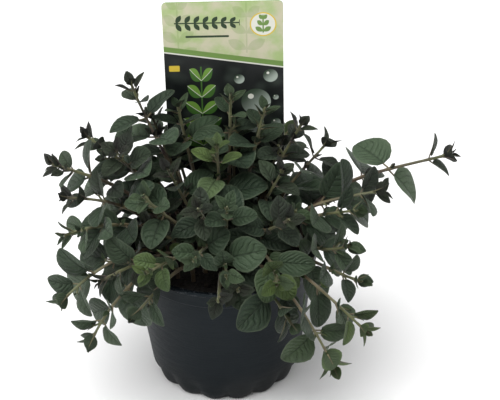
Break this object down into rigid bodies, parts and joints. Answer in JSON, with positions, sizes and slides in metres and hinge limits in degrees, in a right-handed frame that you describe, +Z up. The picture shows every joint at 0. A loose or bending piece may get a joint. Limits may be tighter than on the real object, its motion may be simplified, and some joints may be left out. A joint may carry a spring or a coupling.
{
  "type": "potted mint plant",
  "caption": "Bushy mint plant with opposite leaves on square stems, trailing over a round black nursery pot, with a printed plant label standing behind.",
  "frame": {"origin": "centre of the pot's foot, on the table", "axes": "+Z up along the pot's axis, -Y to the front, +X to the right as seen from the front; the label stands at +Y"},
  "size_m": [0.2488, 0.1908, 0.2375],
  "materials": {
    "pot": "matte moulded plastic",
    "soil": "loose moist potting compost",
    "label": "printed satin plastic card",
    "foliage": "soft matte leaves with sunken veins"
  },
  "bodies": {
    "root": {"pot": "pot", "soil": "soil", "plant_label": "label", "stem_back_1": "foliage", "stem_back_2": "foliage", "stem_back_3": "foliage", "stem_back_4": "foliage", "stem_back_5": "foliage", "stem_centre": "foliage", "stem_dome_1": "foliage", "stem_dome_10": "foliage", "stem_dome_2": "foliage", "stem_dome_3": "foliage", "stem_dome_4": "foliage", "stem_dome_5": "foliage", "stem_dome_6": "foliage", "stem_dome_7": "foliage", "stem_dome_8": "foliage", "stem_dome_9": "foliage", "stem_front": "foliage", "stem_front_left": "foliage", "stem_front_middle": "foliage", "stem_front_right": "foliage", "stem_inner_front": "foliage", "stem_inner_left": "foliage", "stem_inner_right": "foliage", "stem_left_curtain": "foliage", "stem_left_hanging": "foliage", "stem_left_long": "foliage", "stem_left_low": "foliage", "stem_left_lowest": "foliage", "stem_left_round": "foliage", "stem_left_spread": "foliage", "stem_left_under": "foliage", "stem_right_bud": "foliage", "stem_right_curtain": "foliage", "stem_right_dark": "foliage", "stem_right_hanging": "foliage", "stem_right_long": "foliage", "stem_right_low": "foliage", "stem_right_lowest": "foliage", "stem_right_mid": "foliage", "stem_right_upright": "foliage", "stem_rim_1": "foliage", "stem_rim_2": "foliage", "stem_rim_3": "foliage", "stem_rim_4": "foliage", "stem_top_centre": "foliage", "stem_top_centre_left": "foliage", "stem_top_centre_right": "foliage", "stem_top_left": "foliage", "stem_top_right": "foliage", "stem_upper_left": "foliage"}
  },
  "joints": []
}
